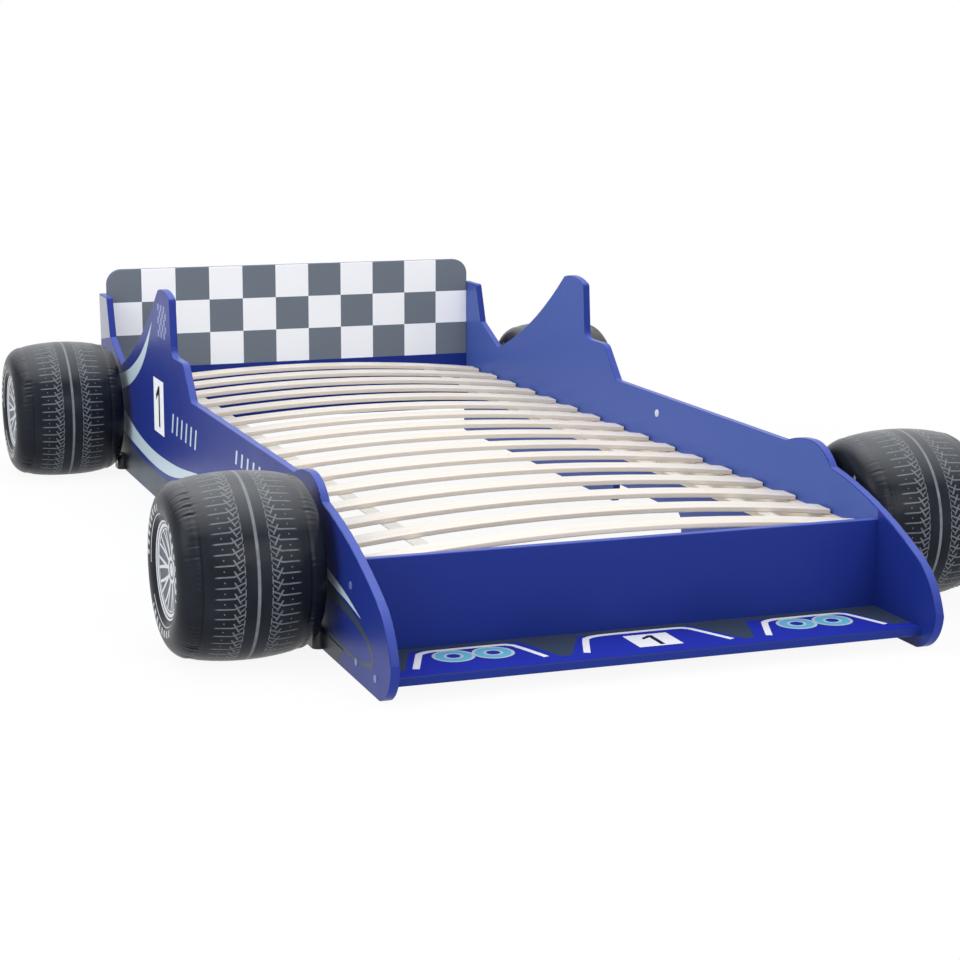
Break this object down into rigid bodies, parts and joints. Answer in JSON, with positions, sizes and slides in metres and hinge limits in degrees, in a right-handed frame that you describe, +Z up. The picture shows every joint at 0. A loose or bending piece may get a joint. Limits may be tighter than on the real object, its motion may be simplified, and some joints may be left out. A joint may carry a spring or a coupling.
{
  "type": "child's racing car bed",
  "caption": "Low child's bed shaped like a racing car: printed board sides, bent slats, nose shelf and inflated wheels.",
  "frame": {"origin": "on the floor under the middle of the bed's outline", "axes": "+Z up, +X to the right across the bed seen from the foot end, +Y from the nose towards the headboard"},
  "size_m": [1.4544, 2.2814, 0.4639],
  "materials": {
    "printed_board": "lacquered board printed in blue, slate and white",
    "birch_slat": "smooth laminated birch",
    "pine": "planed pine",
    "webbing": "woven tape",
    "zinc_steel": "zinc plated",
    "blue_plastic": "smooth blue plastic",
    "inflated_skin": "glossy dark vinyl with a light grey tread print",
    "clear_vinyl": "soft clear vinyl",
    "dark_plastic": "moulded dark plastic"
  },
  "bodies": {
    "bed": {"left_side_panel": "printed_board", "right_side_panel": "printed_board", "headboard": "printed_board", "foot_board": "printed_board", "nose_tray": "printed_board", "slat_01": "birch_slat", "slat_02": "birch_slat", "slat_03": "birch_slat", "slat_04": "birch_slat", "slat_05": "birch_slat", "slat_06": "birch_slat", "slat_07": "birch_slat", "slat_08": "birch_slat", "slat_09": "birch_slat", "slat_10": "birch_slat", "slat_11": "birch_slat", "slat_12": "birch_slat", "slat_13": "birch_slat", "slat_14": "birch_slat", "slat_15": "birch_slat", "slat_16": "birch_slat", "left_ledge": "pine", "right_ledge": "pine", "dowels": "pine", "left_slat_tape": "webbing", "right_slat_tape": "webbing", "board_screws": "zinc_steel", "ledge_screws": "zinc_steel", "slat_screws": "zinc_steel", "anchor_screws": "zinc_steel", "tape_staples": "zinc_steel", "screw_caps": "blue_plastic", "panel_buttons": "blue_plastic", "tyre_front_left": "inflated_skin", "valve_front_left": "clear_vinyl", "anchor_front_left": "dark_plastic", "tyre_front_right": "inflated_skin", "valve_front_right": "clear_vinyl", "anchor_front_right": "dark_plastic", "tyre_rear_left": "inflated_skin", "valve_rear_left": "clear_vinyl", "anchor_rear_left": "dark_plastic", "tyre_rear_right": "inflated_skin", "valve_rear_right": "clear_vinyl", "anchor_rear_right": "dark_plastic"},
    "lid_front_left": {"valve_lid_front_left": "clear_vinyl"},
    "lid_front_right": {"valve_lid_front_right": "clear_vinyl"},
    "lid_rear_left": {"valve_lid_rear_left": "clear_vinyl"},
    "lid_rear_right": {"valve_lid_rear_right": "clear_vinyl"}
  },
  "joints": [
    {"name": "lid_hinge_front_left", "type": "hinge", "parent": "bed", "child": "lid_front_left", "pos_m": [-0.49515, -0.6104, 0.137], "axis": [-0.766, 0.6428, 0], "range_deg": [0, 150]},
    {"name": "lid_hinge_front_right", "type": "hinge", "parent": "bed", "child": "lid_front_right", "pos_m": [0.49515, -0.6104, 0.137], "axis": [-0.766, -0.6428, 0], "range_deg": [0, 150]},
    {"name": "lid_hinge_rear_left", "type": "hinge", "parent": "bed", "child": "lid_rear_left", "pos_m": [-0.49515, 1.0396, 0.137], "axis": [-0.766, 0.6428, 0], "range_deg": [0, 150]},
    {"name": "lid_hinge_rear_right", "type": "hinge", "parent": "bed", "child": "lid_rear_right", "pos_m": [0.49515, 1.0396, 0.137], "axis": [-0.766, -0.6428, 0], "range_deg": [0, 150]}
  ]
}
